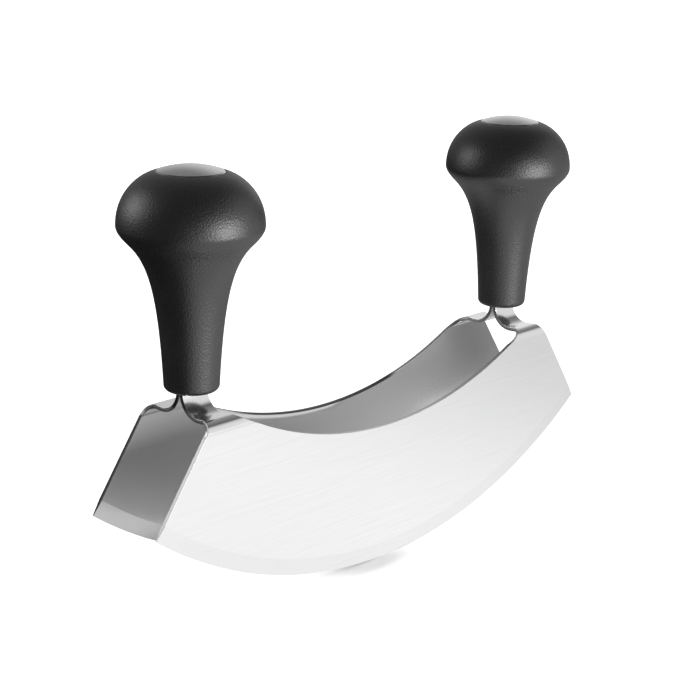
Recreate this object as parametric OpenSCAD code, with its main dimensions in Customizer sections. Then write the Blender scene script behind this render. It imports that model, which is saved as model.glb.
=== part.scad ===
// Double-bladed mezzaluna: two curved rocking blades side by side, carried by two upright knob handles.
// X runs along the blades, Y across them, Z up. The origin is the point under the middle of the
// tool where it stands on its two cutting edges.

/* [Blades] */
// Length of each blade from tip to tip
blade_l = 230; // [200:1:260]
// Radius of the curved cutting edge
edge_r = 193.3; // [170:0.1:260]
// Thickness of the blade sheet
blade_t = 1.5; // [1.2:0.1:2]
// Clear distance between the two blades
blade_gap = 30.6; // [26:0.1:40]
// Height of a blade at its middle, from cutting edge to spine
blade_h = 52.2; // [44:0.1:58]
// Height above the board where the sheet starts to fold inwards
fold_z = 68.3; // [66:0.1:78]
// From the handle's axis in to the horn's corner at the spine
horn_in_w = 9.7; // [7.5:0.1:11]
// From the handle's axis out to the horn's corner at the blade's end
horn_out_w = 7.1; // [6:0.1:10]
// Width of the ground band along the cutting edge
bevel_w = 6; // [3:0.5:9]
// Thickness left at the cutting edge
edge_t = 0.2; // [0.1:0.05:0.4]
// Depth of the short flat in the middle of the cutting edge, on which the tool stands still
edge_flat = 0.02; // [0.01:0.01:0.05]

/* [Tangs] */
// Width of a tang, and of the folded shelf that leads to it
tang_w = 11.1; // [9:0.1:13]
// Clear distance between the two tangs, which lie back to back
tang_gap = 0.1; // [0.05:0.05:0.5]
// Length of tang inside the handle
tang_in = 34; // [28:1:40]
// Mean radius of the lower bend, where blade turns into shelf
lower_bend_r = 3.6; // [2.5:0.1:4]
// Mean radius of the upper bend, where shelf turns into tang
upper_bend_r = 8; // [6:0.25:9]
// Angle that each bend turns through
bend_angle = 93; // [85:1:98]

/* [Handles] */
// Distance from a blade's tip in to the handle's axis
handle_inset = 30.5; // [27:0.1:34]
// Height of a grip from its foot to the rim of its cap
grip_h = 74.4; // [70:0.1:82]
// Radius of the grip at its foot
foot_r = 9.5; // [9.2:0.05:11.5]
// Rounding at the grip's foot
foot_round = 2; // [1:0.1:3]
// Radius of the knob where it is widest
knob_r = 24.65; // [23:0.05:28]
// Height of the widest place above the grip's foot
knob_h = 56.4; // [53:0.1:60]

/* [Caps and fasteners] */
// Radius of the steel cap on top of a grip
cap_r = 11.45; // [10:0.05:13]
// Thickness of the cap at its rim
cap_t = 1.5; // [1.2:0.1:2]
// How far the middle of the cap rises above its rim
cap_rise = 1.9; // [1:0.1:2.4]
// How far the cap's rim stands above the plastic round it
cap_proud = 0.4; // [0.2:0.1:0.8]
// Radius of the tie rod inside the handle
rod_r = 2.5; // [2:0.1:3]
// Radius of the tie rod's forked foot, which straddles the two tangs
fork_r = 3.8; // [3.4:0.1:4.4]
// Width of the hexagon nut across its flats
nut_af = 8; // [7:0.1:9]
// Thickness of the nut
nut_t = 4; // [3:0.1:5]
// Radius of the washer under the nut
washer_r = 5.4; // [5:0.1:5.8]
// Radius of the rivets through the tangs
rivet_r = 2; // [1.5:0.1:2.5]

/* [Hidden] */
$fn = 96;

// Running clearances between pieces that fit into each other
fit = 0.1;
press = 0.02;

// Places across the blades
blade_y = (blade_gap + blade_t) / 2;
tang_y = (tang_gap + blade_t) / 2;

// The folded sheet, in the plane across the blades
turn_in = (lower_bend_r + upper_bend_r) * (1 - cos(bend_angle));
shelf_l = (blade_y - tang_y - turn_in) / sin(bend_angle);
bend_rise = (lower_bend_r + upper_bend_r) * sin(bend_angle) + shelf_l * cos(bend_angle);
horn_rise = 2.9;
horn_z = fold_z + horn_rise;
handle_x = blade_l / 2 - handle_inset;

// The blade's outline, seen from the front
edge_z = edge_r - edge_flat;
tip_z = edge_z - sqrt(edge_r * edge_r - blade_l * blade_l / 4);
horn_in = handle_x - horn_in_w;
horn_out = handle_x + horn_out_w;
end_slope = (blade_l / 2 - horn_out) / (horn_z - tip_z);
spine_r = (pow(horn_z - blade_h, 2) + horn_in * horn_in) / (2 * (horn_z - blade_h));

// Where the outline meets the fold, measured from the handle's axis, less a hair that keeps the
// tab's corners clear of the crescent's
hair = 0.003;
spine_z = blade_h + spine_r;
fold_in = handle_x - sqrt(spine_r * spine_r - pow(spine_z - fold_z, 2)) - hair;
fold_out = horn_out_w + horn_rise * end_slope - hair;
spine_lean = asin((handle_x - fold_in) / spine_r);

// Heights in the handle
grip_z = fold_z + bend_rise;
tang_top = grip_z + tang_in;
cap_z = grip_z + grip_h;
seat_z = cap_z - cap_t;
pocket_depth = 9;
pocket_r = 6.2;
pocket_z = seat_z - pocket_depth;
washer_t = 1;
lower_rivet_z = grip_z + tang_in * 0.3;
upper_rivet_z = grip_z + tang_in * 0.72;
fork_z = grip_z + 1;
fork_top = tang_top + 3;
over = 1;

// Points of a cubic curve from a to d, with b and c as its handles
function curve(a, b, c, d, steps = 12) = [
    for (i = [0 : steps]) let (s = i / steps, r = 1 - s)
        r * r * r * a + 3 * r * r * s * b + 3 * r * s * s * c + s * s * s * d
];

// Points of an arc round c, from angle a1 to a2
function arc(c, r, a1, a2, steps = 8) = [
    for (i = [0 : steps]) let (a = a1 + (a2 - a1) * i / steps) c + r * [cos(a), sin(a)]
];

// Extrudes a drawing of X and Z along Y, centred on y = 0
module along_y(length) {
    rotate([90, 0, 0]) linear_extrude(length, center = true) children();
}

// Crescent seen from the front: cutting arc, slanted ends and hollow spine, up to the fold
module crescent() {
    low_x = horn_out + horn_z * end_slope;
    top_x = horn_out + horn_rise * end_slope;
    difference() {
        intersection() {
            translate([0, edge_z]) circle(edge_r);
            polygon([[-low_x, 0], [low_x, 0], [top_x, fold_z], [-top_x, fold_z]]);
        }
        translate([0, spine_z]) circle(spine_r);
    }
}

// Round plate with the ground band on both sides of its rim, standing in the plane of the blade
module ground_disc() {
    half = blade_t / 2;
    translate([0, 0, edge_z]) rotate([90, 0, 0]) rotate_extrude() polygon([
        [0, -half],
        [edge_r - bevel_w, -half],
        [edge_r, -edge_t / 2],
        [edge_r, edge_t / 2],
        [edge_r - bevel_w, half],
        [0, half]
    ]);
}

// Half width of the sheet at length s past the fold, drawn in from its width at the fold to
// the width of the tang
function drawn_in(s, start, slope) = let (
        neck = 6.5,
        half = tang_w / 2,
        t = min(s / neck, 1),
        r = 1 - t
    ) r * r * r * start + 3 * r * r * t * (start - slope * neck * 0.48)
        + 3 * r * t * t * (half + 0.9) + t * t * t * half;

// A line across the sheet: its place in Y and Z on the sheet's mid-plane, the angle turned from
// upright, and its ends towards the middle of the tool and away from it
function station(place, angle, s) = [
    place, angle, drawn_in(s, fold_in, 1 / tan(spine_lean)), drawn_in(s, fold_out, end_slope)
];

// Stations along the sheet, from below the fold round both bends to the end of the tang
function tab_stations() = let (
        below = 3,
        corner = 3,
        steps = 10,
        half = tang_w / 2,
        bend_a = [lower_bend_r - blade_y, fold_z],
        shelf_start = bend_a + lower_bend_r * [-cos(bend_angle), sin(bend_angle)],
        bend_b = shelf_start + shelf_l * [sin(bend_angle), cos(bend_angle)]
            + upper_bend_r * [-cos(bend_angle), sin(bend_angle)],
        lower_l = lower_bend_r * bend_angle * PI / 180
    ) concat(
        [[[-blade_y, fold_z - below], 0, fold_in, fold_out]],
        [for (i = [0 : steps]) let (a = bend_angle * i / steps)
            station(bend_a + lower_bend_r * [-cos(a), sin(a)], a, lower_l * i / steps)],
        [for (i = [0 : steps]) let (a = bend_angle * (1 - i / steps))
            station(bend_b + upper_bend_r * [cos(a), -sin(a)], a, lower_l + shelf_l)],
        [[[-tang_y, tang_top - corner], 0, half, half],
         [[-tang_y, tang_top], 0, half - corner, half - corner]]
    );

// Folded tab and tang over the handle's axis, for the blade in front: the sheet followed from
// station to station, square to its two faces all the way
module tab() {
    line = tab_stations();
    last = 4 * (len(line) - 1);
    points = [for (at = line, corner = [0 : 3]) let (
        out = blade_t / 2 * [-cos(at[1]), sin(at[1])],
        x = corner == 1 || corner == 2 ? at[3] : -at[2],
        p = corner < 2 ? at[0] + out : at[0] - out
    ) [x, p[0], p[1]]];
    faces = concat(
        [[1, 2, 3, 0], [last, last + 3, last + 2, last + 1]],
        [for (a = [0 : 4 : last - 4]) each [
            [a, a + 4, a + 5, a + 1],
            [a + 2, a + 6, a + 7, a + 3],
            [a + 1, a + 5, a + 6], [a + 1, a + 6, a + 2],
            [a + 3, a + 7, a + 4], [a + 3, a + 4, a]
        ]]
    );
    polyhedron(points, faces, convexity = 4);
}

// One blade, stamped from sheet with both tangs, ground on both sides and drilled for the rivets
module blade() {
    color("gainsboro") difference() {
        union() {
            translate([0, -blade_y, 0]) intersection() {
                ground_disc();
                along_y(2 * blade_t) crescent();
            }
            for (side = [0, 1]) mirror([side, 0, 0]) translate([handle_x, 0, 0]) tab();
        }
        for (side = [-1, 1], z = [lower_rivet_z, upper_rivet_z])
            translate([side * handle_x, 0, z]) rotate([90, 0, 0])
                cylinder(h = 4 * tang_y, r = rivet_r + press);
    }
}

module front_blade() { blade(); }

module rear_blade() { mirror([0, 1, 0]) blade(); }

// Half outline of the grip, from the foot up the flaring shank and over the knob to the cap
function grip_outline() = let (
        top_h = grip_h - cap_proud,
        lip_r = cap_r + 0.7,
        widest = [knob_r, knob_h],
        flare = widest - [5, 7.3]
    ) concat(
        [[0, 0]],
        arc([foot_r - foot_round, foot_round], foot_round, -90, 0, 5),
        curve([foot_r, foot_round + 0.01], [foot_r + 1.5, knob_h - 24.4], flare - [5.75, 6.7], flare, 20),
        curve(flare + [0.01, 0.01], flare + [1.5, 1.78], widest - [0, 2.75], widest, 8),
        curve(widest + [0, 0.01], widest + [0, 10], [lip_r + 5.6, top_h - 1.5], [lip_r, top_h], 18),
        [[0, top_h]]
    );

// Moulded grip: a turned knob with a slot for the tangs, a bore for the tie rod and its forked
// foot, a pocket for the nut and a seat for the cap
module grip() {
    slot_t = tang_gap + 2 * blade_t + 2 * fit;
    color([0.1, 0.1, 0.1]) difference() {
        translate([0, 0, grip_z]) rotate_extrude() polygon(grip_outline());
        translate([-tang_w / 2 - fit, -slot_t / 2, grip_z - over])
            cube([tang_w + 2 * fit, slot_t, tang_in + over + fit]);
        translate([0, 0, grip_z - over]) cylinder(h = fork_top - grip_z + over + fit, r = fork_r + fit);
        translate([0, 0, grip_z]) cylinder(h = grip_h, r = rod_r + fit);
        translate([0, 0, pocket_z]) cylinder(h = grip_h, r = pocket_r);
        translate([0, 0, seat_z]) cylinder(h = grip_h, r = cap_r + fit);
    }
}

// Pressed cap: a domed disc with a bevelled rim and a hollow spigot held in the nut pocket
module cap() {
    rim = 0.4;
    spigot_l = 2.6;
    spigot_wall = 1;
    dome_r = (pow(cap_r - rim, 2) + cap_rise * cap_rise) / (2 * cap_rise);
    color("silver") {
        translate([0, 0, seat_z]) cylinder(h = cap_t - rim, r = cap_r);
        translate([0, 0, cap_z - rim]) cylinder(h = rim, r1 = cap_r, r2 = cap_r - rim);
        intersection() {
            translate([0, 0, cap_z + cap_rise - dome_r]) sphere(dome_r, $fn = 180);
            translate([0, 0, cap_z - rim]) cylinder(h = 2 * cap_rise + rim, r = cap_r - rim);
        }
        translate([0, 0, seat_z - spigot_l]) difference() {
            cylinder(h = spigot_l + rim, r = pocket_r - press);
            translate([0, 0, -over]) cylinder(h = spigot_l + over, r = pocket_r - spigot_wall);
        }
    }
}

// Tie rod: a forked foot riveted over the two tangs and a round threaded end that takes the nut
module tie_rod() {
    slot_t = tang_gap + 2 * blade_t + 2 * press;
    rod_top = pocket_z + washer_t + nut_t + over;
    color("darkgray") difference() {
        union() {
            translate([0, 0, fork_z]) cylinder(h = fork_top - fork_z, r = fork_r);
            translate([0, 0, fork_top - over]) cylinder(h = rod_top - fork_top + over, r = rod_r);
        }
        translate([-2 * fork_r, -slot_t / 2, fork_z - over])
            cube([4 * fork_r, slot_t, tang_top + fit - fork_z + over]);
        for (z = [lower_rivet_z, upper_rivet_z])
            translate([0, 0, z]) rotate([90, 0, 0])
                cylinder(h = 4 * fork_r, r = rivet_r + press, center = true);
    }
}

module washer() {
    color("gray") translate([0, 0, pocket_z]) difference() {
        cylinder(h = washer_t, r = washer_r);
        translate([0, 0, -over]) cylinder(h = 3 * over, r = rod_r + 2 * fit);
    }
}

module nut() {
    color("gray") translate([0, 0, pocket_z + washer_t]) difference() {
        cylinder(h = nut_t, r = nut_af / sqrt(3), $fn = 6);
        translate([0, 0, -over]) cylinder(h = nut_t + 2 * over, r = rod_r + press);
    }
}

// Flush rivet through the fork of the tie rod and both tangs
module rivet(z) {
    color("gainsboro") translate([0, 0, z]) rotate([90, 0, 0])
        cylinder(h = 2 * (fork_r - 0.6), r = rivet_r, center = true);
}

module at_left() { translate([-handle_x, 0, 0]) children(); }

module at_right() { translate([handle_x, 0, 0]) children(); }

front_blade();
rear_blade();
at_left() grip();  // left_grip
at_right() grip();  // right_grip
at_left() cap();  // left_cap
at_right() cap();  // right_cap
at_left() tie_rod();  // left_tie_rod
at_right() tie_rod();  // right_tie_rod
at_left() washer();  // left_washer
at_right() washer();  // right_washer
at_left() nut();  // left_nut
at_right() nut();  // right_nut
at_left() rivet(lower_rivet_z);  // left_lower_rivet
at_left() rivet(upper_rivet_z);  // left_upper_rivet
at_right() rivet(lower_rivet_z);  // right_lower_rivet
at_right() rivet(upper_rivet_z);  // right_upper_rivet
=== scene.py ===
"""Looks of a double-bladed mezzaluna: two folded steel blades, two moulded grips and two steel caps."""

import math

import bmesh
import bpy
from mathutils import Matrix, Vector


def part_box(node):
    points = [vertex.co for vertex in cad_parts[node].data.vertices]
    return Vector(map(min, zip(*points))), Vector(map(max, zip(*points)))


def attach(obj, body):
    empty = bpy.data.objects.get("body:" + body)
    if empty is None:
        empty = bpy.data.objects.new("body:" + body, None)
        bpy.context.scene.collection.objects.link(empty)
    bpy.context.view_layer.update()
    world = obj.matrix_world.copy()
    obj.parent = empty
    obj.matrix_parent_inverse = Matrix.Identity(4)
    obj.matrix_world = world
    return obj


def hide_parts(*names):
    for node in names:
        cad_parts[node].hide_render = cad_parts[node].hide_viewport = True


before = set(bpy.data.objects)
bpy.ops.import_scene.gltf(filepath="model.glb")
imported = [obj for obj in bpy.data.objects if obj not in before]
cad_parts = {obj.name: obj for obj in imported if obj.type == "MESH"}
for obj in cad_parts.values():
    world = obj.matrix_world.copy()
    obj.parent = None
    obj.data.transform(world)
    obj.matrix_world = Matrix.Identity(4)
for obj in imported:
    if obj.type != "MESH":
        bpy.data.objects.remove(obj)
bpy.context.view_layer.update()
bpy.ops.object.select_all(action="DESELECT")

# Camera. It stands in front of the left end, a little above the caps, with the lens that
# the photograph's perspective asks for.
AIM = Vector((-0.006039, 0.0, 0.077852))
VIEW_AZIMUTH = math.radians(-47.573)
VIEW_HEIGHT = math.radians(16.155)
VIEW_ROLL = math.radians(1.254)
VIEW_DISTANCE = 0.625203
FOCAL_PIXELS = 1692.136
IMAGE_PIXELS = 700
SENSOR = 36.0

towards_camera = Vector((
    math.sin(VIEW_AZIMUTH) * math.cos(VIEW_HEIGHT),
    -math.cos(VIEW_AZIMUTH) * math.cos(VIEW_HEIGHT),
    math.sin(VIEW_HEIGHT),
))
level_right = Vector((math.cos(VIEW_AZIMUTH), math.sin(VIEW_AZIMUTH), 0.0))
level_up = towards_camera.cross(level_right)
camera_right = math.cos(VIEW_ROLL) * level_right + math.sin(VIEW_ROLL) * level_up
camera_up = math.cos(VIEW_ROLL) * level_up - math.sin(VIEW_ROLL) * level_right
bpy.ops.object.camera_add()
camera = bpy.context.object
camera.name = "camera"
camera.matrix_world = Matrix.Translation(AIM + VIEW_DISTANCE * towards_camera) @ Matrix(
    (camera_right, camera_up, towards_camera)
).transposed().to_4x4()
camera.data.sensor_width = SENSOR
camera.data.lens = FOCAL_PIXELS / IMAGE_PIXELS * SENSOR
camera.data.clip_start = 0.01
bpy.context.scene.camera = camera

# Studio. A white table in a white surround, which keeps the tool's contact shadow, deepened by a
# painted shadow where the floor's glow is taken away around a spot at the front blade's edge. A low,
# wide soft box stands to the right of the camera and a smaller one at its left. The metal and plastic
# mirror a glowing table, painted bright only to the right and painted dark under the tool, a dim room,
# a white card and a grey one.
WHITE = (1.0, 1.0, 1.0, 1.0)
FLOOR_SIZE = 12.0
# A painted contact shadow: around this spot, squeezed along X, the floor loses its glow and shows only its
# darker paint.
SHADOW_SPOT = (-0.0035, -0.0185, 0.0)
SHADOW_SQUEEZE = (0.35, 1.0, 1.0)
SHADOW_REACH = (0.002, 0.012)
FAR_REACH = (0.30, 1.10)
TABLE_GLOW = 0.62
TABLE_PAINT = 0.88
SHOWN_PAINT = 0.72
# In reflections the table is a glow, not lit: painted light on its right side and dark on its left, darker
# far to the right and behind, and painted shade under the tool between the blades.
PAINTED_LIGHT_SIDE = (0.758, -0.653, 0.0)
PAINTED_LIGHT_EDGE = (-0.11, -0.04)
TABLE_LEFT = 0.04
TABLE_RIGHT = 0.98
FAR_RIGHT_EDGE = (0.02, 0.30)
TABLE_FAR_RIGHT = 0.72
BEHIND_EDGE = (0.03, 0.10)
TABLE_BEHIND = 0.45
# Painted shade under the tool, between the blades, as the table is seen in reflections.
PAINTED_SHADE_UNDER_EDGE = (0.012, 0.0168)
TABLE_UNDER_PAINTED_SHADE = 0.42
ROOM_LEVEL = 1.0
ROOM_LEAN = 0.65
ROOM_DARK = 0.03
ROOM_BEHIND = 0.25
BEHIND_SPREAD = (0.30, 0.95)
ROOM_RIGHT = 0.75
RIGHT_SPREAD = (0.74, 0.95)
CARD_LEVEL = 0.85
CARD_SPREAD = math.radians(50)
GREY_CARD_PLACE = (0.1315, -0.01605, 0.0455)
GREY_CARD_SIZE = (0.077, 0.041)
GREY_CARD_LEVEL = 0.19
KEY_SIZE = (0.44, 0.20)
KEY_LEVEL = 11.0
RIM_SIZE = (0.325, 0.29)
RIM_LEVEL = 3.0
BOX_DISTANCE = 0.65


def level_direction(turn, rise):
    """A direction turned to the right of the camera's by turn degrees, and rise degrees up."""
    azimuth = VIEW_AZIMUTH + math.radians(turn)
    lift = math.radians(rise)
    return Vector((math.sin(azimuth) * math.cos(lift), -math.cos(azimuth) * math.cos(lift), math.sin(lift)))


BEHIND_TOWARDS = level_direction(180, 20)
RIGHT_TOWARDS = level_direction(97, 12)
LEAN_TOWARDS = level_direction(-80, 25)
CARD_TOWARDS = level_direction(170, 10)
KEY_TOWARDS = level_direction(54, 3)
RIM_TOWARDS = level_direction(-94, 24)


def shader_tree(material):
    """The empty node tree of a material, with short helpers that add and join its nodes."""
    material.use_nodes = True
    tree = material.node_tree
    tree.nodes.clear()

    def add(kind, **values):
        node = tree.nodes.new(kind)
        for key, value in values.items():
            if key in node.inputs:
                node.inputs[key].default_value = value
            else:
                setattr(node, key, value)
        return node

    return add, tree.links.new


def ranged(add, join, source, low, high, to_low, to_high, smooth=False):
    """source carried from the range low to high over to the range to_low to to_high."""
    scale = add("ShaderNodeMapRange", interpolation_type="SMOOTHSTEP" if smooth else "LINEAR")
    scale.inputs["From Min"].default_value = low
    scale.inputs["From Max"].default_value = high
    scale.inputs["To Min"].default_value = to_low
    scale.inputs["To Max"].default_value = to_high
    join(source, scale.inputs["Value"])
    return scale.outputs["Result"]


def times(add, join, a, b):
    """The product of two values of a node tree."""
    product = add("ShaderNodeMath", operation="MULTIPLY")
    join(a, product.inputs[0])
    join(b, product.inputs[1])
    return product.outputs[0]


def mirrored_rays(add, join, path):
    """1 for what the camera sees mirrored in the tool, and 0 for light on its way to a matt place."""
    direct = ranged(add, join, path.outputs["Diffuse Depth"], 0.0, 1.0, 1.0, 0.0)
    return times(add, join, path.outputs["Is Glossy Ray"], direct)


def make_floor():
    """A white table top that keeps the tool's shadow, deepened by a painted shadow spot, and that mirrors as
    a glow painted bright only to the right and painted dark under the tool.
    """
    bpy.ops.mesh.primitive_plane_add(size=FLOOR_SIZE)
    floor = bpy.context.object
    floor.name = "floor"
    paint = bpy.data.materials.new("table_white")
    add, join = shader_tree(paint)
    place = add("ShaderNodeTexCoord").outputs["Object"]
    distance = add("ShaderNodeVectorMath", operation="LENGTH")
    join(place, distance.inputs[0])
    squeezed = add("ShaderNodeVectorMath", operation="MULTIPLY")
    join(place, squeezed.inputs[0])
    squeezed.inputs[1].default_value = SHADOW_SQUEEZE
    from_spot = add("ShaderNodeVectorMath", operation="DISTANCE")
    join(squeezed.outputs[0], from_spot.inputs[0])
    from_spot.inputs[1].default_value = SHADOW_SPOT
    # Painted shadow: no glow near the spot, full glow past its reach.
    glow_past_painted_shadow = ranged(add, join, from_spot.outputs["Value"], *SHADOW_REACH, 0.0, TABLE_GLOW, smooth=True)
    far_glow = ranged(add, join, distance.outputs["Value"], *FAR_REACH, 0.0, 1.0 - TABLE_GLOW, smooth=True)
    glow = add("ShaderNodeMath", operation="ADD")
    join(glow_past_painted_shadow, glow.inputs[0])
    join(far_glow, glow.inputs[1])
    shown_paint = add("ShaderNodeBsdfDiffuse", Color=(SHOWN_PAINT,) * 3 + (1.0,))
    shown_glow = add("ShaderNodeEmission")
    join(glow.outputs[0], shown_glow.inputs["Strength"])
    shown = add("ShaderNodeAddShader")
    join(shown_paint.outputs[0], shown.inputs[0])
    join(shown_glow.outputs[0], shown.inputs[1])
    bounced = add("ShaderNodeBsdfDiffuse", Color=(TABLE_PAINT,) * 3 + (1.0,))

    across = add("ShaderNodeVectorMath", operation="DOT_PRODUCT")
    join(place, across.inputs[0])
    across.inputs[1].default_value = PAINTED_LIGHT_SIDE
    # Painted light: the mirrored table glows bright on its right side and dim on its left.
    painted_light = ranged(add, join, across.outputs["Value"], *PAINTED_LIGHT_EDGE, TABLE_LEFT, TABLE_RIGHT, smooth=True)
    along = add("ShaderNodeSeparateXYZ")
    join(place, along.inputs[0])
    fade = ranged(add, join, along.outputs["X"], *FAR_RIGHT_EDGE, 1.0, TABLE_FAR_RIGHT, smooth=True)
    behind = ranged(add, join, along.outputs["Y"], *BEHIND_EDGE, 1.0, TABLE_BEHIND, smooth=True)
    sideways = add("ShaderNodeMath", operation="ABSOLUTE")
    join(along.outputs["Y"], sideways.inputs[0])
    # Painted shade under the tool, between the blades.
    painted_shade_under = ranged(add, join, sideways.outputs[0], *PAINTED_SHADE_UNDER_EDGE, TABLE_UNDER_PAINTED_SHADE, 1.0, smooth=True)
    level = times(add, join, times(add, join, painted_light, fade), times(add, join, behind, painted_shade_under))
    mirrored = add("ShaderNodeEmission")
    join(level, mirrored.inputs["Strength"])

    path = add("ShaderNodeLightPath")
    by_gloss = add("ShaderNodeMixShader")
    by_camera = add("ShaderNodeMixShader")
    out = add("ShaderNodeOutputMaterial")
    join(mirrored_rays(add, join, path), by_gloss.inputs[0])
    join(bounced.outputs[0], by_gloss.inputs[1])
    join(mirrored.outputs[0], by_gloss.inputs[2])
    join(path.outputs["Is Camera Ray"], by_camera.inputs[0])
    join(by_gloss.outputs[0], by_camera.inputs[1])
    join(shown.outputs[0], by_camera.inputs[2])
    join(by_camera.outputs[0], out.inputs[0])
    floor.data.materials.append(paint)


def make_room():
    """White for the camera, a dim room with a bright card for reflections, and soft light elsewhere."""
    room = bpy.data.worlds.new("studio")
    bpy.context.scene.world = room
    add, join = shader_tree(room)
    direction = add("ShaderNodeTexCoord")

    def facing(towards):
        cosine = add("ShaderNodeVectorMath", operation="DOT_PRODUCT")
        join(direction.outputs["Generated"], cosine.inputs[0])
        cosine.inputs[1].default_value = towards
        return cosine.outputs["Value"]

    angle = add("ShaderNodeMath", operation="ARCCOSINE")
    join(facing(CARD_TOWARDS), angle.inputs[0])
    card = ranged(add, join, angle.outputs[0], 0.0, CARD_SPREAD, CARD_LEVEL, 0.0, smooth=True)
    walls = ranged(add, join, facing(BEHIND_TOWARDS), *BEHIND_SPREAD, ROOM_DARK, ROOM_BEHIND, smooth=True)
    right = ranged(add, join, facing(RIGHT_TOWARDS), *RIGHT_SPREAD, 0.0, ROOM_RIGHT, smooth=True)
    lighter = add("ShaderNodeMath", operation="MAXIMUM")
    join(card, lighter.inputs[0])
    join(walls, lighter.inputs[1])
    level = add("ShaderNodeMath", operation="MAXIMUM")
    join(lighter.outputs[0], level.inputs[0])
    join(right, level.inputs[1])
    path = add("ShaderNodeLightPath")
    seen = add("ShaderNodeBackground", Strength=1.0)
    mirrored = add("ShaderNodeBackground")
    join(level.outputs[0], mirrored.inputs["Strength"])
    even = add("ShaderNodeBackground")
    lowest, highest = ROOM_LEVEL - ROOM_LEAN, ROOM_LEVEL + ROOM_LEAN
    lean = ranged(add, join, facing(LEAN_TOWARDS), -1.0, 1.0, lowest, highest)
    join(lean, even.inputs["Strength"])
    for light in (seen, mirrored, even):
        light.inputs["Color"].default_value = WHITE
    by_gloss = add("ShaderNodeMixShader")
    by_camera = add("ShaderNodeMixShader")
    out = add("ShaderNodeOutputWorld")
    join(mirrored_rays(add, join, path), by_gloss.inputs[0])
    join(even.outputs[0], by_gloss.inputs[1])
    join(mirrored.outputs[0], by_gloss.inputs[2])
    join(path.outputs["Is Camera Ray"], by_camera.inputs[0])
    join(by_gloss.outputs[0], by_camera.inputs[1])
    join(seen.outputs[0], by_camera.inputs[2])
    join(by_camera.outputs[0], out.inputs[0])


def make_grey_card():
    """A grey card past the front blade's right end, in that blade's plane, seen only in reflections."""
    upright = (math.radians(90), 0.0, 0.0)
    bpy.ops.mesh.primitive_plane_add(size=1.0, location=GREY_CARD_PLACE, rotation=upright)
    card = bpy.context.object
    card.name = "grey_card"
    card.scale = (*GREY_CARD_SIZE, 1.0)
    bpy.ops.object.transform_apply(location=False, rotation=False, scale=True)
    board = bpy.data.materials.new("card_grey")
    add, join = shader_tree(board)
    path = add("ShaderNodeLightPath")
    clear = add("ShaderNodeBsdfTransparent")
    grey = add("ShaderNodeEmission", Strength=GREY_CARD_LEVEL)
    by_gloss = add("ShaderNodeMixShader")
    out = add("ShaderNodeOutputMaterial")
    join(mirrored_rays(add, join, path), by_gloss.inputs[0])
    join(clear.outputs[0], by_gloss.inputs[1])
    join(grey.outputs[0], by_gloss.inputs[2])
    join(by_gloss.outputs[0], out.inputs[0])
    card.data.materials.append(board)


def soft_box(name, towards, size, radiance):
    """A rectangular lamp that stands off in the direction towards and faces the tool."""
    place = AIM + BOX_DISTANCE * towards
    bpy.ops.object.light_add(type="AREA", location=place)
    lamp = bpy.context.object
    lamp.name = name
    lamp.data.shape = "RECTANGLE"
    lamp.data.size, lamp.data.size_y = size
    lamp.data.energy = radiance * math.pi * size[0] * size[1]
    lamp.rotation_euler = (place - AIM).to_track_quat("Z", "Y").to_euler()
    lamp.visible_diffuse = False


make_floor()
make_room()
make_grey_card()
soft_box("key_box", KEY_TOWARDS, KEY_SIZE, KEY_LEVEL)
soft_box("rim_box", RIM_TOWARDS, RIM_SIZE, RIM_LEVEL)

# Blades. Each is cut flat from 1.5 mm stainless sheet, its arrises are tumbled off, its curved
# edge is ground from both sides, and its two horns are folded in and up into tangs.
HALF_LENGTH = 0.115
EDGE_RADIUS = 0.1933
EDGE_FLAT = 0.00002
SHEET = 0.0015
BLADE_Y = 0.01605
BLADE_HEIGHT = 0.0522
FOLD_Z = 0.0683
HANDLE_X = 0.0845
HORN_RISE = 0.0029
HORN_IN = 0.0097
HORN_OUT = 0.0071
GROUND_BAND = 0.006
EDGE_LEFT = 0.0002
TANG_HALF = 0.00555
TANG_Y = 0.0008
TANG_IN = 0.034
TANG_CORNER = 0.003
NECK = 0.0065
NECK_PULL = 0.48
NECK_FLARE = 0.0009
LOWER_BEND = 0.0036
UPPER_BEND = 0.008
BEND_ANGLE = math.radians(93)
CREASES = 22
EDGE_STEPS = 120
SPINE_STEPS = 80
TUMBLED = 0.00013
RIVET_FIT = 0.00002
DRILL_LENGTH = 0.004
MERGE = 1e-6
CIRCLE_SLACK = 0.0004
CORNER_SLACK = 0.0007
EDGE_SLACK = 0.001
SOFT_ANGLE = math.radians(5)

horn_z = FOLD_Z + HORN_RISE
edge_centre = EDGE_RADIUS - EDGE_FLAT
tip_z = edge_centre - math.sqrt(EDGE_RADIUS ** 2 - HALF_LENGTH ** 2)
end_slope = (HALF_LENGTH - HANDLE_X - HORN_OUT) / (horn_z - tip_z)
horn_in_x = HANDLE_X - HORN_IN
spine_radius = ((horn_z - BLADE_HEIGHT) ** 2 + horn_in_x ** 2) / (2 * (horn_z - BLADE_HEIGHT))
spine_centre = BLADE_HEIGHT + spine_radius
fold_in = HANDLE_X - math.sqrt(spine_radius ** 2 - (spine_centre - FOLD_Z) ** 2)
fold_out = HORN_OUT + HORN_RISE * end_slope
spine_slope = (spine_centre - FOLD_Z) / (HANDLE_X - fold_in)
lower_length = LOWER_BEND * BEND_ANGLE
upper_length = UPPER_BEND * BEND_ANGLE
bends_reach = (LOWER_BEND + UPPER_BEND) * (1 - math.cos(BEND_ANGLE))
shelf_length = (BLADE_Y - TANG_Y - bends_reach) / math.sin(BEND_ANGLE)
tang_end = FOLD_Z + lower_length + shelf_length + upper_length + TANG_IN


def drawn_in(s, start, slope):
    """Half width of the sheet at length s past the fold, from its width there to the tang's."""
    t = min(s / NECK, 1.0)
    r = 1.0 - t
    leaving = start - slope * NECK * NECK_PULL
    arriving = TANG_HALF + NECK_FLARE
    return r ** 3 * start + 3 * r * r * t * leaving + 3 * r * t * t * arriving + t ** 3 * TANG_HALF


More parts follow.
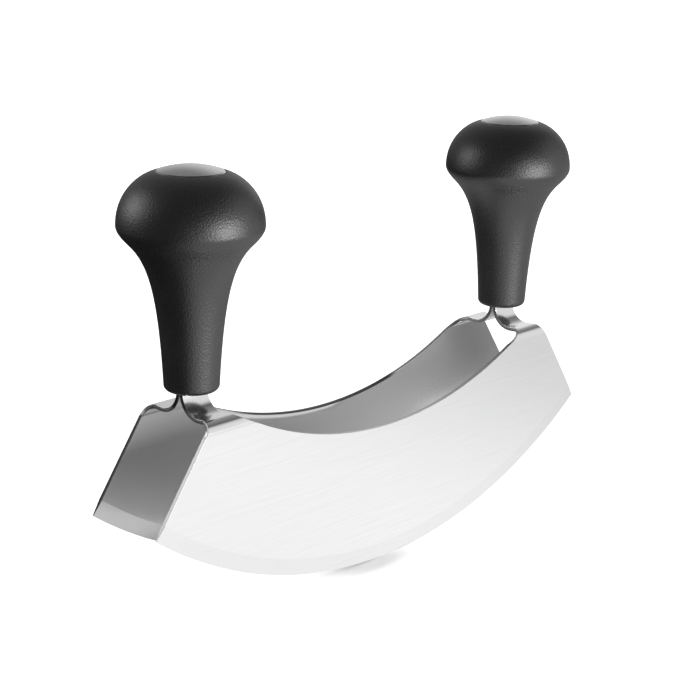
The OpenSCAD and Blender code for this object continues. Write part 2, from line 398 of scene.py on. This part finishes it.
def flat_outline():
    """The flat blade's cut outline in X and Z, down to where the grinding starts, and its end corner."""
    radius = EDGE_RADIUS - GROUND_BAND
    reach = HANDLE_X + HORN_OUT + horn_z * end_slope
    square = end_slope ** 2 + 1
    half_sum = reach * end_slope + edge_centre
    root = math.sqrt(half_sum ** 2 - square * (reach ** 2 + edge_centre ** 2 - radius ** 2))
    corner_z = (half_sum - root) / square
    corner_angle = math.asin((reach - end_slope * corner_z) / radius)
    half = []
    for i in range(EDGE_STEPS + 1):
        angle = corner_angle * i / EDGE_STEPS
        half.append((radius * math.sin(angle), edge_centre - radius * math.cos(angle)))
    stations = [lower_length * i / CREASES for i in range(CREASES + 3)]
    half += [(HANDLE_X + drawn_in(s, fold_out, end_slope), FOLD_Z + s) for s in stations]
    half += [
        (HANDLE_X + TANG_HALF, tang_end - TANG_CORNER),
        (HANDLE_X + TANG_HALF - TANG_CORNER, tang_end),
        (HANDLE_X - TANG_HALF + TANG_CORNER, tang_end),
        (HANDLE_X - TANG_HALF, tang_end - TANG_CORNER),
    ]
    half += [(HANDLE_X - drawn_in(s, fold_in, spine_slope), FOLD_Z + s) for s in reversed(stations)]
    fold_angle = math.asin((HANDLE_X - fold_in) / spine_radius)
    for i in reversed(range(SPINE_STEPS)):
        angle = fold_angle * i / SPINE_STEPS
        half.append((spine_radius * math.sin(angle), spine_centre - spine_radius * math.cos(angle)))
    other_half = [(-x, z) for x, z in reversed(half[1:-1])]
    return half + other_half, (half[EDGE_STEPS][0], corner_z)


def only(piece):
    """Makes piece the one selected and active object."""
    bpy.ops.object.select_all(action="DESELECT")
    piece.select_set(True)
    bpy.context.view_layer.objects.active = piece


def finish_modifiers(piece):
    """Applies every modifier of piece, in order."""
    only(piece)
    for modifier in list(piece.modifiers):
        bpy.ops.object.modifier_apply(modifier=modifier.name)


def pick(piece, kind, wanted):
    """Selects the verts, edges or faces of piece, in edit mode, for which wanted is true."""
    bpy.ops.mesh.select_all(action="DESELECT")
    bpy.ops.mesh.select_mode(type={"verts": "VERT", "edges": "EDGE", "faces": "FACE"}[kind])
    mesh = bmesh.from_edit_mesh(piece.data)
    for part in getattr(mesh, kind):
        if wanted(part):
            part.select_set(True)
    mesh.select_flush_mode()
    bmesh.update_edit_mesh(piece.data)


def from_centre(place):
    """Distance of a place on the blade from the centre of the cutting edge's circle."""
    return math.hypot(place.x, place.z - edge_centre)


def grind_edge(piece, end_corner):
    """Draws the lower side of the sheet out to the cutting edge, thinning it from both faces."""
    radius = EDGE_RADIUS - GROUND_BAND
    grow = EDGE_RADIUS / radius

    def lower_side(face):
        level = abs(face.normal.y) < 0.1 and face.normal.z < 0
        return level and all(abs(from_centre(v.co) - radius) < CIRCLE_SLACK for v in face.verts)

    pick(piece, "faces", lower_side)
    bpy.ops.mesh.extrude_region_move()
    bpy.ops.transform.resize(
        value=(grow, EDGE_LEFT / SHEET, grow), orient_type="GLOBAL",
        center_override=(0.0, -BLADE_Y, edge_centre),
    )
    for side in (-1, 1):
        grown = Vector((side * end_corner[0] * grow, edge_centre + (end_corner[1] - edge_centre) * grow))
        tip = Vector((side * HALF_LENGTH, tip_z))

        def grown_corner(vert):
            beside = (Vector((vert.co.x, vert.co.z)) - grown).length < CORNER_SLACK
            return beside and from_centre(vert.co) > EDGE_RADIUS - EDGE_SLACK

        pick(piece, "verts", grown_corner)
        bpy.ops.transform.translate(value=(tip.x - grown.x, 0.0, tip.y - grown.y))
    pick(piece, "verts", lambda v: v.co.z < 0.0)
    bpy.ops.transform.resize(
        value=(1.0, 1.0, 0.0), orient_type="GLOBAL", center_override=(0.0, -BLADE_Y, 0.0)
    )


def mark_sheet(piece):
    """Gives the stamped cut faces the blade's second finish."""
    mesh = bmesh.from_edit_mesh(piece.data)
    for face in mesh.faces:
        middle = face.calc_center_median()
        if abs(face.normal.y) < 0.98 and from_centre(middle) < EDGE_RADIUS - EDGE_SLACK / 2:
            face.material_index = 1
    bmesh.update_edit_mesh(piece.data)


def fold_tabs(piece):
    """Notes each place on the flat sheet, then folds both horns in and up, a little at each crease."""
    step = BEND_ANGLE / CREASES
    upper_fold = FOLD_Z + lower_length + shelf_length
    creases = []
    for start, length, turn in ((FOLD_Z, lower_length, step), (upper_fold, upper_length, -step)):
        creases += [(start + length * (i + 0.5) / CREASES, turn) for i in range(CREASES)]
    for height, _ in creases:
        bpy.ops.mesh.select_all(action="SELECT")
        bpy.ops.mesh.bisect(plane_co=(0.0, 0.0, height), plane_no=(0.0, 0.0, 1.0), threshold=MERGE)
    mesh = bmesh.from_edit_mesh(piece.data)
    across_layer = mesh.verts.layers.float.new("across")
    height_layer = mesh.verts.layers.float.new("height")
    for vert in mesh.verts:
        vert[across_layer] = (vert.co.y + BLADE_Y) / SHEET + 0.5
        vert[height_layer] = vert.co.z
    bmesh.update_edit_mesh(piece.data)
    flat_heights = [v.co.z for v in bmesh.from_edit_mesh(piece.data).verts]
    for height, turn in reversed(creases):
        pick(piece, "verts", lambda v: flat_heights[v.index] > height + 2 * MERGE)
        bpy.ops.transform.rotate(
            value=turn, orient_axis="X", orient_type="GLOBAL", center_override=(0.0, -BLADE_Y, height)
        )


def cut_blade():
    """The front blade as one mesh: cut, tumbled, ground and folded."""
    outline, end_corner = flat_outline()
    sheet = bpy.data.curves.new("front_blade_sheet", "CURVE")
    sheet.dimensions = "3D"
    line = sheet.splines.new("POLY")
    line.points.add(len(outline) - 1)
    for point, (x, z) in zip(line.points, outline):
        point.co = (x, -BLADE_Y - SHEET / 2, z, 1.0)
    line.use_cyclic_u = True
    blade = bpy.data.objects.new("front_blade_sheet", sheet)
    bpy.context.scene.collection.objects.link(blade)
    only(blade)
    bpy.ops.object.convert(target="MESH")
    blade = bpy.context.object
    bpy.ops.object.mode_set(mode="EDIT")
    bpy.ops.mesh.select_all(action="SELECT")
    bpy.ops.mesh.edge_face_add()
    bpy.ops.mesh.extrude_region_move(TRANSFORM_OT_translate={"value": (0.0, SHEET, 0.0)})
    bpy.ops.mesh.select_all(action="SELECT")
    bpy.ops.mesh.normals_make_consistent(inside=False)
    radius = EDGE_RADIUS - GROUND_BAND

    def arris(edge):
        a, b = (v.co for v in edge.verts)
        on_edge_side = all(abs(from_centre(p) - radius) < 1e-5 for p in (a, b))
        return abs(a.y - b.y) < MERGE and not on_edge_side

    pick(blade, "edges", arris)
    bpy.ops.mesh.bevel(offset=TUMBLED, segments=2, affect="EDGES")
    grind_edge(blade, end_corner)
    mark_sheet(blade)
    fold_tabs(blade)
    bpy.ops.mesh.select_all(action="SELECT")
    bpy.ops.mesh.remove_doubles(threshold=2 * MERGE)
    bpy.ops.mesh.normals_make_consistent(inside=False)
    bpy.ops.object.mode_set(mode="OBJECT")
    return blade


def drill_tangs(blade, side):
    """Drills both tangs of one handle for the two rivets."""
    for name in ("lower", "upper"):
        low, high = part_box(f"{side}_{name}_rivet")
        bpy.ops.mesh.primitive_cylinder_add(
            vertices=48, radius=(high.x - low.x) / 2 + RIVET_FIT, depth=DRILL_LENGTH,
            location=((low.x + high.x) / 2, -TANG_Y, (low.z + high.z) / 2), rotation=(math.pi / 2, 0.0, 0.0),
        )
        drill = bpy.context.object
        hole = blade.modifiers.new("rivet_hole", "BOOLEAN")
        hole.operation = "DIFFERENCE"
        hole.object = drill
        hole.solver = "EXACT"
        finish_modifiers(blade)
        bpy.data.objects.remove(drill)


def finish_blade(blade, node):
    """Smooths the bends, keeps the flats flat, and puts the blade in its node's place."""
    only(blade)
    bpy.ops.object.shade_smooth_by_angle(angle=SOFT_ANGLE)
    weigh = blade.modifiers.new("even_normals", "WEIGHTED_NORMAL")
    weigh.keep_sharp = True
    finish_modifiers(blade)
    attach(blade, "root")
    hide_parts(node)


POLISHED = (0.93, 0.93, 0.935, 1.0)
MILL_FINISH = (0.79, 0.79, 0.795, 1.0)
GROUND = (0.885, 0.885, 0.89, 1.0)
GROUND_INSIDE = (0.60, 0.60, 0.605, 1.0)
POLISHED_ROUGHNESS = 0.16
MILL_ROUGHNESS = 0.30
GROUND_ROUGHNESS = 0.26
ROUGHNESS_WANDER = 0.03
MIDDLE_OF_SHEET = (0.45, 0.55)
GRIND_BLEND = 0.0004
LINE_STRETCH = (40.0, 2400.0, 2400.0)
LINE_SHADE = 0.96
NOISE_RANGE = (0.3, 0.7)
ROLL_FROM = 0.0565
ROLL_DEPTH = 0.0026
ROLL_FADE = (-0.05, 0.05)
ROLL_LEFT_OVER = 0.25
DIE_ROLL_WIDTH = 0.0032
DIE_ROLL_SLOPE = 1.0
DIE_ROLL_TO = (-0.004, 0.010)
# A painted dark line along the spine's inner arris, for a dark reflection there: its darkness, its ends in X
# and its width. The same darkness is painted on the rear blade's cut.
PAINTED_DARK = 0.10
PAINTED_LINE_FROM = (-0.055, -0.040)
PAINTED_SHADE_TO = (0.033, 0.040)
PAINTED_LINE_WIDTH = (0.0005, 0.0007)


def mixed(add, join, factor, first, second, kind="FLOAT"):
    """first where factor is 0 and second where it is 1; each is a value, a colour or a socket."""
    mix = add("ShaderNodeMix", data_type=kind)
    join(factor, mix.inputs["Factor"])
    places = (6, 7) if kind == "RGBA" else (2, 3)
    for value, place in zip((first, second), places):
        if isinstance(value, (float, tuple)):
            mix.inputs[place].default_value = value
        else:
            join(value, mix.inputs[place])
    return mix.outputs[2 if kind == "RGBA" else 0]


def darkened(add, join, colour, factor):
    """A colour multiplied by a grey factor."""
    mix = add("ShaderNodeMix", data_type="RGBA", blend_type="MULTIPLY")
    mix.inputs["Factor"].default_value = 1.0
    join(colour, mix.inputs[6])
    join(factor, mix.inputs[7])
    return mix.outputs[2]


def from_circle(add, join, split, centre_z):
    """Distance in X and Z from the centre of one of the blade's circles, which stands at centre_z."""
    height = add("ShaderNodeMath", operation="SUBTRACT")
    join(split.outputs["Z"], height.inputs[0])
    height.inputs[1].default_value = centre_z
    in_plane = add("ShaderNodeCombineXYZ")
    join(split.outputs["X"], in_plane.inputs["X"])
    join(height.outputs[0], in_plane.inputs["Z"])
    distance = add("ShaderNodeVectorMath", operation="LENGTH")
    join(in_plane.outputs[0], distance.inputs[0])
    return distance.outputs["Value"]


def painted_spine_line(add, join, split, outer, from_spine):
    """1 all over the sheet, but with a painted dark line along the arris on the inner side of the spine, for
    a dark reflection there.
    """
    on_painted_line = ranged(add, join, from_spine, *(spine_radius + width for width in PAINTED_LINE_WIDTH), 1.0, 0.0)
    inside = ranged(add, join, outer, 0.0, 1.0, 1.0 - PAINTED_DARK, 0.0)
    past_left = ranged(add, join, split.outputs["X"], *PAINTED_LINE_FROM, 0.0, 1.0, smooth=True)
    before_right = ranged(add, join, split.outputs["X"], *PAINTED_SHADE_TO, 1.0, 0.0, smooth=True)
    dark = times(add, join, times(add, join, on_painted_line, inside), times(add, join, past_left, before_right))
    shade = add("ShaderNodeMath", operation="SUBTRACT")
    shade.inputs[0].default_value = 1.0
    join(dark, shade.inputs[1])
    return shade.outputs[0]


def inner_lean(add, join, split, outer, from_spine):
    """Height of the inner face, which rolls over towards the horns and, from the die, along the spine."""
    rise = ranged(add, join, split.outputs["Z"], ROLL_FROM, FOLD_Z, 0.0, 1.0)
    horn_depth = ranged(add, join, outer, 0.0, 1.0, ROLL_DEPTH, 0.0)
    horn_share = ranged(add, join, split.outputs["X"], *ROLL_FADE, 1.0, ROLL_LEFT_OVER, smooth=True)
    to_horns = times(add, join, times(add, join, rise, rise), times(add, join, horn_depth, horn_share))
    near = ranged(add, join, from_spine, spine_radius, spine_radius + DIE_ROLL_WIDTH, 1.0, 0.0)
    spine_depth = ranged(add, join, outer, 0.0, 1.0, -DIE_ROLL_SLOPE * DIE_ROLL_WIDTH / 3, 0.0)
    spine_share = ranged(add, join, split.outputs["X"], *DIE_ROLL_TO, 1.0, 0.0, smooth=True)
    to_spine = times(
        add, join,
        times(add, join, near, near),
        times(add, join, near, times(add, join, spine_depth, spine_share)),
    )
    lean = add("ShaderNodeMath", operation="ADD")
    join(to_horns, lean.inputs[0])
    join(to_spine, lean.inputs[1])
    return lean.outputs[0]


def sheet_steel():
    """Stainless with rolling lines along the sheet: polished outside, plain inside, ground at the edge, with
    a painted dark line along the spine's inner arris.
    """
    steel = bpy.data.materials.new("blade_steel")
    add, join = shader_tree(steel)
    place = add("ShaderNodeTexCoord").outputs["Object"]
    split = add("ShaderNodeSeparateXYZ")
    join(place, split.inputs[0])
    across = add("ShaderNodeAttribute", attribute_name="across").outputs["Fac"]
    outer = ranged(add, join, across, *MIDDLE_OF_SHEET, 1.0, 0.0)
    ground_from = EDGE_RADIUS - GROUND_BAND
    from_edge = from_circle(add, join, split, edge_centre)
    band = ranged(add, join, from_edge, ground_from - GRIND_BLEND, ground_from + GRIND_BLEND, 0.0, 1.0)
    from_spine = from_circle(add, join, split, spine_centre)

    stretch = add("ShaderNodeMapping")
    stretch.inputs["Scale"].default_value = LINE_STRETCH
    join(place, stretch.inputs["Vector"])
    lines = add("ShaderNodeTexNoise", Scale=1.0, Detail=3.0, Roughness=0.6)
    join(stretch.outputs[0], lines.inputs["Vector"])
    cloud = add("ShaderNodeTexNoise", Scale=22.0, Detail=3.0)
    join(place, cloud.inputs["Vector"])

    sheet = mixed(add, join, outer, MILL_FINISH, POLISHED, "RGBA")
    ground = mixed(add, join, outer, GROUND_INSIDE, GROUND, "RGBA")
    colour = mixed(add, join, band, sheet, ground, "RGBA")
    streaks = ranged(add, join, lines.outputs["Fac"], *NOISE_RANGE, LINE_SHADE, 1.0)
    colour = darkened(add, join, colour, streaks)
    # Painted shade: a dark line along the spine's inner arris.
    colour = darkened(add, join, colour, painted_spine_line(add, join, split, outer, from_spine))

    by_side = ranged(add, join, outer, 0.0, 1.0, MILL_ROUGHNESS, POLISHED_ROUGHNESS)
    uneven = add("ShaderNodeMath", operation="ADD")
    join(mixed(add, join, band, by_side, GROUND_ROUGHNESS), uneven.inputs[0])
    wander = ranged(add, join, cloud.outputs["Fac"], *NOISE_RANGE, -ROUGHNESS_WANDER, ROUGHNESS_WANDER)
    join(wander, uneven.inputs[1])

    lean = add("ShaderNodeBump", Strength=1.0, Distance=1.0)
    join(inner_lean(add, join, split, outer, from_spine), lean.inputs["Height"])
    relief = add("ShaderNodeBump", Strength=0.14, Distance=0.00002)
    join(lines.outputs["Fac"], relief.inputs["Height"])
    join(lean.outputs[0], relief.inputs["Normal"])
    metal = add("ShaderNodeBsdfPrincipled", Metallic=1.0)
    join(colour, metal.inputs["Base Color"])
    join(uneven.outputs[0], metal.inputs["Roughness"])
    join(relief.outputs[0], metal.inputs["Normal"])
    out = add("ShaderNodeOutputMaterial")
    join(metal.outputs[0], out.inputs[0])
    return steel


# Greys of the stamped cut. A pair runs from its smooth half to its torn one, or from the left
# end of the rear blade to its right. The smooth and torn halves are the cut's own; the changes of
# grey between the blades, from end to end and on the folds are painted light and shade.
CUT_ROUGHNESS = 0.34
CUT_WANDER = 0.05
CUT_SHADE = 0.86
TORN_FROM = (0.55, 0.70)
BURNISHED_FROM = (0.76, 0.88)
REAR_TORN_PAINTED_SHADING = (0.015, 0.55)
REAR_BURNISHED_PAINTED_SHADING = (PAINTED_DARK, 0.90)
REAR_FOLDED_PAINTED_SHADING = (0.98, 0.55)
FRONT_LEFT_PAINTED_SHADING = 0.36
FRONT_RIGHT_PAINTED_SHADING = (0.90, 0.50)
FRONT_FOLDED_PAINTED_SHADING = (0.95, 0.50)
FRONT_PAINTED_SHADING_FADE = (-0.075, 0.03)
BETWEEN_BLADES = (-0.004, 0.004)
FOLD_BLEND = 0.002
SHELF_BLEND = 0.003
shelf_end = FOLD_Z + lower_length + shelf_length + 0.6 * upper_length


def cut_steel():
    """The stamped edge of the sheet, with a smooth and a torn half, and painted light and shade: darker on
    the blade behind, changing from end to end, and with its own greys on the folds.
    """
    steel = bpy.data.materials.new("blade_cut_edge")
    add, join = shader_tree(steel)
    place = add("ShaderNodeTexCoord").outputs["Object"]
    split = add("ShaderNodeSeparateXYZ")
    join(place, split.inputs[0])
    across = add("ShaderNodeAttribute", attribute_name="across").outputs["Fac"]
    height = add("ShaderNodeAttribute", attribute_name="height").outputs["Fac"]
    marks = add("ShaderNodeTexNoise", Scale=1500.0, Detail=3.0, Roughness=0.6)
    join(place, marks.inputs["Vector"])

    torn = ranged(add, join, across, *TORN_FROM, 0.0, 1.0)
    burnished = ranged(add, join, across, *BURNISHED_FROM, 0.0, 1.0)
    past_fold = ranged(add, join, height, FOLD_Z, FOLD_Z + FOLD_BLEND, 0.0, 1.0, smooth=True)
    before_tang = ranged(add, join, height, shelf_end - SHELF_BLEND, shelf_end, 1.0, 0.0, smooth=True)
    folded = times(add, join, past_fold, before_tang)
    to_right = ranged(add, join, split.outputs["X"], *FRONT_PAINTED_SHADING_FADE, 0.0, 1.0, smooth=True)
    right_end = ranged(add, join, split.outputs["X"], *PAINTED_SHADE_TO, 0.0, 1.0, smooth=True)
    behind = ranged(add, join, split.outputs["Y"], *BETWEEN_BLADES, 0.0, 1.0)

    # Painted shade and light on the rear cut: dark at its left end, lighter to the right and on the folds.
    rear_flat = mixed(
        add, join, burnished,
        mixed(add, join, right_end, *REAR_TORN_PAINTED_SHADING),
        mixed(add, join, right_end, *REAR_BURNISHED_PAINTED_SHADING),
    )
    rear = mixed(add, join, folded, rear_flat, mixed(add, join, torn, *REAR_FOLDED_PAINTED_SHADING))
    # Painted shade and light on the front cut: darker at its left end than at its right, with its own greys
    # on the folds.
    front_flat = mixed(add, join, to_right, FRONT_LEFT_PAINTED_SHADING, mixed(add, join, torn, *FRONT_RIGHT_PAINTED_SHADING))
    front = mixed(add, join, folded, front_flat, mixed(add, join, torn, *FRONT_FOLDED_PAINTED_SHADING))
    shade = ranged(add, join, marks.outputs["Fac"], *NOISE_RANGE, CUT_SHADE, 1.0)
    # The blade behind gets its own, darker painted greys.
    level = times(add, join, mixed(add, join, behind, front, rear), shade)
    grey = add("ShaderNodeCombineColor")
    for channel in ("Red", "Green", "Blue"):
        join(level, grey.inputs[channel])
    smoothest, roughest = CUT_ROUGHNESS - CUT_WANDER, CUT_ROUGHNESS + CUT_WANDER
    roughness = ranged(add, join, marks.outputs["Fac"], *NOISE_RANGE, smoothest, roughest)
    metal = add("ShaderNodeBsdfPrincipled", Metallic=1.0)
    join(grey.outputs[0], metal.inputs["Base Color"])
    join(roughness, metal.inputs["Roughness"])
    out = add("ShaderNodeOutputMaterial")
    join(metal.outputs[0], out.inputs[0])
    return steel


front = cut_blade()
for finish in (sheet_steel(), cut_steel()):
    front.data.materials.append(finish)
for side in ("left", "right"):
    drill_tangs(front, side)
rear = bpy.data.objects.new("rear_blade_sheet", front.data.copy())
bpy.context.scene.collection.objects.link(rear)
rear.data.transform(Matrix.Scale(-1.0, 4, (0.0, 1.0, 0.0)))
rear.data.flip_normals()
finish_blade(front, "front_blade")
finish_blade(rear, "rear_blade")

# Grips. Each is one moulding of matt black plastic, turned in shape, with a fine spark-eroded
# grain, a rounded foot with a slot for the tangs, and a round seat for the cap.
FOOT_RADIUS = 0.0095
FOOT_ROUND = 0.0020
KNOB_RADIUS = 0.02463
KNOB_HEIGHT = 0.0564
CAP_RADIUS = 0.01145
CAP_THICKNESS = 0.0015
CAP_PROUD = 0.0004
LIP = 0.0007
LIP_ROUND = 0.0003
SLOT_HALF = TANG_HALF + 0.0001
SLOT_DEPTH = 0.0341
SLOT_THICKNESS = 0.0033
FORK_BORE = 0.0039
FORK_DEPTH = 0.0371
TURN_STEPS = 160
ROUND_HANDLE = 0.5523
NECK_IN = 0.0050
NECK_DOWN = 0.0073
CUTTER_OVERLAP = 0.0005
PLASTIC_COLOUR = (0.003, 0.003, 0.0033, 1.0)
PLASTIC_ROUGHNESS = (0.40, 0.46)
GRAIN_FINENESS = 1500.0
GRAIN_DEPTH = 0.00006


def turned(name, knots, axis_x, base_z, resolution=20):
    """A solid turned about an upright axis, from a drawn half outline of radius and height."""
    bpy.ops.curve.primitive_bezier_curve_add()
    outline = bpy.context.object
    outline.name = name
    outline.data.dimensions = "3D"
    outline.data.resolution_u = resolution
    spline = outline.data.splines[0]
    spline.bezier_points.add(len(knots) - len(spline.bezier_points))
    for point, (before, at, after) in zip(spline.bezier_points, knots):
        point.handle_left_type = point.handle_right_type = "FREE"
        point.co = (axis_x + at[0], 0.0, base_z + at[1])
        point.handle_left = (axis_x + before[0], 0.0, base_z + before[1])
        point.handle_right = (axis_x + after[0], 0.0, base_z + after[1])
    bpy.ops.object.convert(target="MESH")
    bpy.ops.object.mode_set(mode="EDIT")
    bpy.ops.mesh.select_all(action="SELECT")
    bpy.ops.mesh.spin(steps=TURN_STEPS, angle=2 * math.pi, center=(axis_x, 0.0, 0.0), axis=(0.0, 0.0, 1.0))
    bpy.ops.mesh.select_all(action="SELECT")
    bpy.ops.mesh.remove_doubles(threshold=5 * MERGE)
    bpy.ops.mesh.normals_make_consistent(inside=False)
    bpy.ops.object.mode_set(mode="OBJECT")
    return bpy.context.object


def corner(at):
    """A knot with a sharp corner."""
    return (at, at, at)


def smooth_knot(at, before, after):
    """A knot whose two handles are given as offsets from it."""
    return ((at[0] + before[0], at[1] + before[1]), at, (at[0] + after[0], at[1] + after[1]))


def grip_knots(height):
    """Half outline of the grip, from the middle of its foot to the middle of its cap seat."""
    k = ROUND_HANDLE * FOOT_ROUND
    foot_flat = FOOT_RADIUS - FOOT_ROUND
    to_neck = KNOB_HEIGHT - 0.0244 - FOOT_ROUND
    neck = (KNOB_RADIUS - NECK_IN, KNOB_HEIGHT - NECK_DOWN)
    lip = CAP_RADIUS + LIP
    seat_wall = CAP_RADIUS + 0.0001
    seat = height - CAP_THICKNESS + CAP_PROUD
    return [
        corner((0.0, 0.0)),
        smooth_knot((foot_flat, 0.0), before=(-foot_flat, 0.0), after=(k, 0.0)),
        smooth_knot((FOOT_RADIUS, FOOT_ROUND), before=(0.0, -k), after=(0.0015, to_neck)),
        smooth_knot(neck, before=(-0.00575, -0.0067), after=(0.0015, 0.00178)),
        smooth_knot((KNOB_RADIUS, KNOB_HEIGHT), before=(0.0, -0.00275), after=(0.0, 0.0100)),
        smooth_knot((lip, height), before=(0.0056, -0.0015), after=(-LIP_ROUND, 0.0001)),
        ((seat_wall, height), (seat_wall, height - LIP_ROUND), (seat_wall, seat)),
        corner((seat_wall, seat)),
        corner((0.0, seat)),
    ]


def grained_plastic():
    """Matt black plastic whose fine grain breaks up the highlights."""
    plastic = bpy.data.materials.new("grip_plastic")
    add, join = shader_tree(plastic)
    place = add("ShaderNodeTexCoord").outputs["Object"]
    grain = add("ShaderNodeTexNoise", Scale=GRAIN_FINENESS, Detail=3.0, Roughness=0.65)
    join(place, grain.inputs["Vector"])
    pits = add("ShaderNodeTexVoronoi", Scale=GRAIN_FINENESS)
    join(place, pits.inputs["Vector"])
    height = add("ShaderNodeMath", operation="ADD")
    join(grain.outputs["Fac"], height.inputs[0])
    join(pits.outputs["Distance"], height.inputs[1])
    relief = add("ShaderNodeBump", Strength=1.0, Distance=GRAIN_DEPTH)
    join(height.outputs[0], relief.inputs["Height"])
    wear = add("ShaderNodeTexNoise", Scale=60.0, Detail=3.0)
    join(place, wear.inputs["Vector"])
    body = add("ShaderNodeBsdfPrincipled", IOR=1.5)
    body.inputs["Specular IOR Level"].default_value = 1.0
    body.inputs["Base Color"].default_value = PLASTIC_COLOUR
    roughness = ranged(add, join, wear.outputs["Fac"], *NOISE_RANGE, *PLASTIC_ROUGHNESS)
    join(roughness, body.inputs["Roughness"])
    join(relief.outputs[0], body.inputs["Normal"])
    out = add("ShaderNodeOutputMaterial")
    join(body.outputs[0], out.inputs[0])
    return plastic


def moulded_grip(node, plastic):
    """One grip on the axis and height of its CAD node, with the slot and bore for what holds it."""
    low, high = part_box(node)
    axis_x = (low.x + high.x) / 2
    grip = turned(node + "_moulding", grip_knots(high.z - low.z), axis_x, low.z)
    slot_place = (axis_x, 0.0, low.z + SLOT_DEPTH / 2 - CUTTER_OVERLAP)
    bpy.ops.mesh.primitive_cube_add(size=1.0, location=slot_place)
    slot_cutter = bpy.context.object
    slot_cutter.dimensions = (2 * SLOT_HALF, SLOT_THICKNESS, SLOT_DEPTH + 2 * CUTTER_OVERLAP)
    bpy.ops.mesh.primitive_cylinder_add(
        vertices=64, radius=FORK_BORE, depth=FORK_DEPTH + 2 * CUTTER_OVERLAP,
        location=(axis_x, 0.0, low.z + FORK_DEPTH / 2 - CUTTER_OVERLAP),
    )
    bore_cutter = bpy.context.object
    for cutter in (slot_cutter, bore_cutter):
        cut = grip.modifiers.new("cut", "BOOLEAN")
        cut.operation = "DIFFERENCE"
        cut.object = cutter
        cut.solver = "EXACT"
    finish_modifiers(grip)
    bpy.data.objects.remove(slot_cutter)
    bpy.data.objects.remove(bore_cutter)
    only(grip)
    bpy.ops.object.shade_smooth_by_angle(angle=math.radians(35))
    grip.data.materials.clear()
    grip.data.materials.append(plastic)
    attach(grip, "root")
    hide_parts(node)


plastic = grained_plastic()
for node in ("left_grip", "right_grip"):
    moulded_grip(node, plastic)

# Caps. Each is a pressed stainless disc, gently domed, with a bright bevelled rim that stands
# a little above the plastic, and a hollow spigot that holds it in the grip.
CAP_RISE = 0.0019
RIM_BEVEL = 0.0004
SPIGOT_RADIUS = 0.00618
SPIGOT_WALL = 0.00098
SPIGOT_LENGTH = 0.0026
CAP_COLOUR = (0.62, 0.62, 0.63, 1.0)
CAP_ROUGHNESS = 0.20
GLOSS_WANDER = 0.04


def satin_steel(name, colour, roughness):
    """Stainless steel with a faint mottle and a little wander in its gloss."""
    steel = bpy.data.materials.new(name)
    add, join = shader_tree(steel)
    place = add("ShaderNodeTexCoord").outputs["Object"]
    cloud = add("ShaderNodeTexNoise", Scale=400.0, Detail=3.0)
    join(place, cloud.inputs["Vector"])
    relief = add("ShaderNodeBump", Strength=0.1, Distance=0.00001)
    join(cloud.outputs["Fac"], relief.inputs["Height"])
    metal = add("ShaderNodeBsdfPrincipled", Metallic=1.0)
    metal.inputs["Base Color"].default_value = colour
    smoothest, roughest = roughness - GLOSS_WANDER, roughness + GLOSS_WANDER
    wander = ranged(add, join, cloud.outputs["Fac"], *NOISE_RANGE, smoothest, roughest)
    join(wander, metal.inputs["Roughness"])
    join(relief.outputs[0], metal.inputs["Normal"])
    out = add("ShaderNodeOutputMaterial")
    join(metal.outputs[0], out.inputs[0])
    return steel


def pressed_cap(node, steel):
    """One cap on the axis and height of its CAD node."""
    low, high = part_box(node)
    axis_x = (low.x + high.x) / 2
    seat = high.z - CAP_RISE - CAP_THICKNESS
    rim = CAP_RADIUS - RIM_BEVEL
    dome = CAP_THICKNESS + CAP_RISE
    knots = [
        corner((0.0, 0.0)),
        corner((SPIGOT_RADIUS - SPIGOT_WALL, 0.0)),
        corner((SPIGOT_RADIUS - SPIGOT_WALL, -SPIGOT_LENGTH)),
        corner((SPIGOT_RADIUS, -SPIGOT_LENGTH)),
        corner((SPIGOT_RADIUS, 0.0)),
        corner((CAP_RADIUS, 0.0)),
        corner((CAP_RADIUS, CAP_THICKNESS - RIM_BEVEL)),
        ((rim, CAP_THICKNESS), (rim, CAP_THICKNESS), (rim * 0.66, CAP_THICKNESS + CAP_RISE * 0.63)),
        ((rim * 0.34, dome), (0.0, dome), (0.0, dome)),
    ]
    cap = turned(node + "_pressing", knots, axis_x, seat)
    bpy.ops.object.shade_smooth_by_angle(angle=math.radians(25))
    cap.data.materials.clear()
    cap.data.materials.append(steel)
    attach(cap, "root")
    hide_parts(node)


cap_steel = satin_steel("cap_steel", CAP_COLOUR, CAP_ROUGHNESS)
for node in ("left_cap", "right_cap"):
    pressed_cap(node, cap_steel)

# Fasteners. Tie rods, washers, nuts and rivets are plain stainless turned parts, shut inside
# the grips, and keep their CAD shapes.
FASTENER_COLOUR = (0.60, 0.60, 0.61, 1.0)
FASTENER_ROUGHNESS = 0.35

fastener_steel = satin_steel("fastener_steel", FASTENER_COLOUR, FASTENER_ROUGHNESS)
for side in ("left", "right"):
    for part in ("tie_rod", "washer", "nut", "lower_rivet", "upper_rivet"):
        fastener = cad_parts[f"{side}_{part}"]
        fastener.data.materials.clear()
        fastener.data.materials.append(fastener_steel)

bpy.context.scene.view_settings.view_transform = "Standard"
